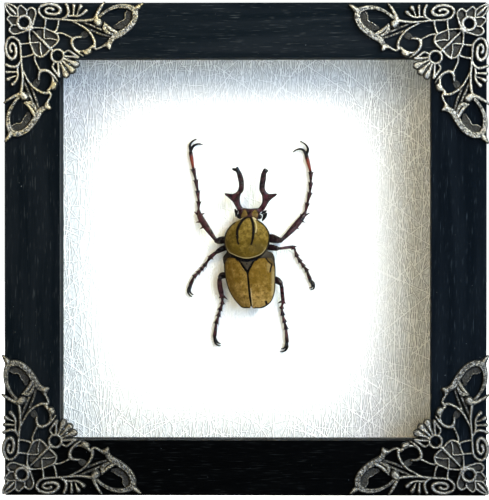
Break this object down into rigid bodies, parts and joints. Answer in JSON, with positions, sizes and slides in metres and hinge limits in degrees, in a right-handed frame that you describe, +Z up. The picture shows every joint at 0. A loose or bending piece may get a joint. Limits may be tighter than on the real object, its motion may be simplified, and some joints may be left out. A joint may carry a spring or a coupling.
{
  "type": "framed beetle",
  "caption": "Shadow box frame in black wood with openwork metal corners; a horned ochre beetle is mounted on white creased paper behind glass.",
  "frame": {"origin": "centre of the bottom rail's underside, the face the frame stands on", "axes": "+Z up, front towards -Y, +X to the right seen from the front"},
  "size_m": [0.152, 0.0356, 0.1537],
  "materials": {
    "black_wood": "black stain over open grain, satin",
    "clear_glass": "clear picture glass",
    "black_lining": "matt black",
    "white_paper": "white paper, crumpled and smoothed out, on card",
    "brown_board": "hardboard brown, matt",
    "plain_steel": "zinc plated",
    "antique_silver": "silver tone with dark patina in the recesses",
    "ochre_shell": "dry chitin with a powdery ochre bloom and dark margins",
    "dark_chitin": "dark maroon to black chitin"
  },
  "bodies": {
    "root": {"rail_top": "black_wood", "rail_bottom": "black_wood", "rail_left": "black_wood", "rail_right": "black_wood", "glass_pane": "clear_glass", "liner_top": "black_lining", "liner_bottom": "black_lining", "liner_left": "black_lining", "liner_right": "black_lining", "display_card": "white_paper", "back_board": "brown_board", "point_top": "plain_steel", "point_bottom": "plain_steel", "point_left": "plain_steel", "point_right": "plain_steel", "sawtooth_hanger": "plain_steel", "hanger_nail_left": "plain_steel", "hanger_nail_right": "plain_steel", "corner_filigree_top_left": "antique_silver", "corner_filigree_top_right": "antique_silver", "corner_filigree_bottom_left": "antique_silver", "corner_filigree_bottom_right": "antique_silver", "beetle_head": "dark_chitin", "beetle_pronotum": "ochre_shell", "beetle_scutellum": "dark_chitin", "beetle_elytron_left": "ochre_shell", "beetle_elytron_right": "ochre_shell", "beetle_underside": "dark_chitin", "beetle_antenna_left": "dark_chitin", "beetle_antenna_right": "dark_chitin", "beetle_leg_front_left": "dark_chitin", "beetle_leg_front_right": "dark_chitin", "beetle_leg_mid_left": "dark_chitin", "beetle_leg_mid_right": "dark_chitin", "beetle_leg_hind_left": "dark_chitin", "beetle_leg_hind_right": "dark_chitin"}
  },
  "joints": []
}
